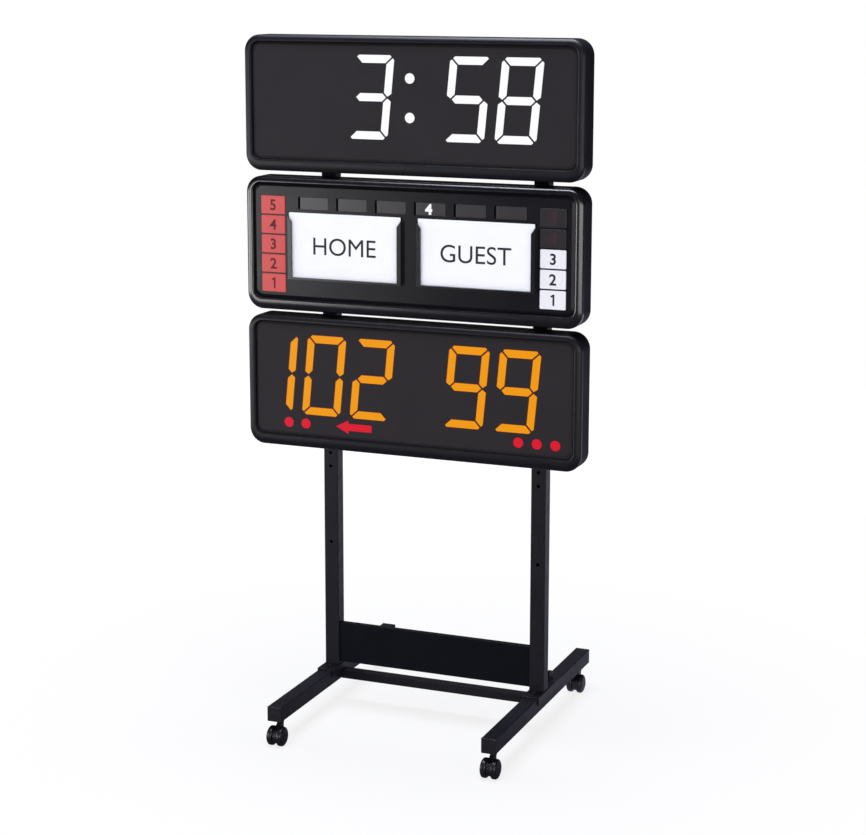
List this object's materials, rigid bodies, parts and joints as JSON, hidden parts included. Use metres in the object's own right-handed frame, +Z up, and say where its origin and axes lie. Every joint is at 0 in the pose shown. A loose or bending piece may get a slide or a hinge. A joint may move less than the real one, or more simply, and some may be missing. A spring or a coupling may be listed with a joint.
{
  "type": "electronic scoreboard",
  "caption": "Electronic scoreboard with stacked clock, foul and score panels on a two-post stand that rolls on twin-wheel casters.",
  "frame": {"origin": "on the floor, under the middle of the object's box", "axes": "+Z up, the display faces -Y, +X to the right of a viewer who looks at the display"},
  "size_m": [0.88, 0.7312, 1.746],
  "materials": {
    "powder_coated_steel": "satin black powder coat",
    "case_plastic": "semi-gloss black",
    "smoked_face": "smoked, semi-gloss",
    "white_lamp": "lit, diffusing",
    "amber_lamp": "lit, diffusing",
    "red_lamp": "lit, diffusing",
    "period_window": "smoked window",
    "circuit_board": "solder mask",
    "name_card": "white write-on sheet",
    "black_plastic": "moulded black",
    "wheel_plastic": "moulded black"
  },
  "bodies": {
    "frame": {"left_rail": "powder_coated_steel", "right_rail": "powder_coated_steel", "front_left_rail_cap": "black_plastic", "front_right_rail_cap": "black_plastic", "rear_left_rail_cap": "black_plastic", "rear_right_rail_cap": "black_plastic", "left_foot_bracket": "powder_coated_steel", "right_foot_bracket": "powder_coated_steel", "left_post": "powder_coated_steel", "right_post": "powder_coated_steel", "left_post_cap": "black_plastic", "right_post_cap": "black_plastic", "cross_bar": "powder_coated_steel", "cross_plate": "powder_coated_steel", "top_panel_bracket": "powder_coated_steel", "middle_panel_bracket": "powder_coated_steel", "lower_panel_bracket": "powder_coated_steel", "top_bezel": "case_plastic", "top_rear_cover": "case_plastic", "top_face": "smoked_face", "top_circuit_board": "circuit_board", "clock_tens_of_minutes": "white_lamp", "clock_minutes": "white_lamp", "clock_tens_of_seconds": "white_lamp", "clock_seconds": "white_lamp", "clock_colon": "white_lamp", "middle_bezel": "case_plastic", "middle_rear_cover": "case_plastic", "middle_face": "smoked_face", "middle_circuit_board": "circuit_board", "period_windows": "period_window", "home_foul_tiles": "red_lamp", "guest_foul_tiles": "white_lamp", "home_card_holder": "smoked_face", "guest_card_holder": "smoked_face", "lower_bezel": "case_plastic", "lower_rear_cover": "case_plastic", "lower_face": "smoked_face", "lower_circuit_board": "circuit_board", "home_hundreds": "amber_lamp", "home_tens": "amber_lamp", "home_units": "amber_lamp", "guest_hundreds": "amber_lamp", "guest_tens": "amber_lamp", "guest_units": "amber_lamp", "home_foul_dots": "red_lamp", "guest_foul_dots": "red_lamp", "possession_arrow": "red_lamp", "power_inlet": "black_plastic"},
    "front_left_fork": {"front_left_caster_fork": "black_plastic"},
    "front_right_fork": {"front_right_caster_fork": "black_plastic"},
    "rear_left_fork": {"rear_left_caster_fork": "black_plastic"},
    "rear_right_fork": {"rear_right_caster_fork": "black_plastic"},
    "front_left_wheels": {"front_left_wheel_pair": "wheel_plastic"},
    "front_right_wheels": {"front_right_wheel_pair": "wheel_plastic"},
    "rear_left_wheels": {"rear_left_wheel_pair": "wheel_plastic"},
    "rear_right_wheels": {"rear_right_wheel_pair": "wheel_plastic"},
    "home_card": {"home_name_card": "name_card"},
    "guest_card": {"guest_name_card": "name_card"},
    "rocker": {"power_rocker": "black_plastic"}
  },
  "joints": [
    {"name": "front_left_swivel", "type": "hinge", "parent": "frame", "child": "front_left_fork", "pos_m": [-0.2835, -0.32165, 0.066], "axis": [0, 0, 1], "continuous": true},
    {"name": "front_right_swivel", "type": "hinge", "parent": "frame", "child": "front_right_fork", "pos_m": [0.2835, -0.32165, 0.066], "axis": [0, 0, 1], "continuous": true},
    {"name": "rear_left_swivel", "type": "hinge", "parent": "frame", "child": "rear_left_fork", "pos_m": [-0.2835, 0.33015, 0.066], "axis": [0, 0, 1], "continuous": true},
    {"name": "rear_right_swivel", "type": "hinge", "parent": "frame", "child": "rear_right_fork", "pos_m": [0.2835, 0.33015, 0.066], "axis": [0, 0, 1], "continuous": true},
    {"name": "front_left_roll", "type": "hinge", "parent": "front_left_fork", "child": "front_left_wheels", "pos_m": [-0.2835, -0.34115, 0.0245], "axis": [1, 0, 0], "continuous": true},
    {"name": "front_right_roll", "type": "hinge", "parent": "front_right_fork", "child": "front_right_wheels", "pos_m": [0.2835, -0.34115, 0.0245], "axis": [1, 0, 0], "continuous": true},
    {"name": "rear_left_roll", "type": "hinge", "parent": "rear_left_fork", "child": "rear_left_wheels", "pos_m": [-0.2835, 0.31065, 0.0245], "axis": [1, 0, 0], "continuous": true},
    {"name": "rear_right_roll", "type": "hinge", "parent": "rear_right_fork", "child": "rear_right_wheels", "pos_m": [0.2835, 0.31065, 0.0245], "axis": [1, 0, 0], "continuous": true},
    {"name": "home_card_slide", "type": "slide", "parent": "frame", "child": "home_card", "axis": [0, 0, 1], "range_m": [0, 0.07]},
    {"name": "guest_card_slide", "type": "slide", "parent": "frame", "child": "guest_card", "axis": [0, 0, 1], "range_m": [0, 0.07]},
    {"name": "power_rocker_press", "type": "hinge", "parent": "frame", "child": "rocker", "pos_m": [-0.11, -0.0975, 0.793], "axis": [1, 0, 0], "range_deg": [0, 16]}
  ]
}
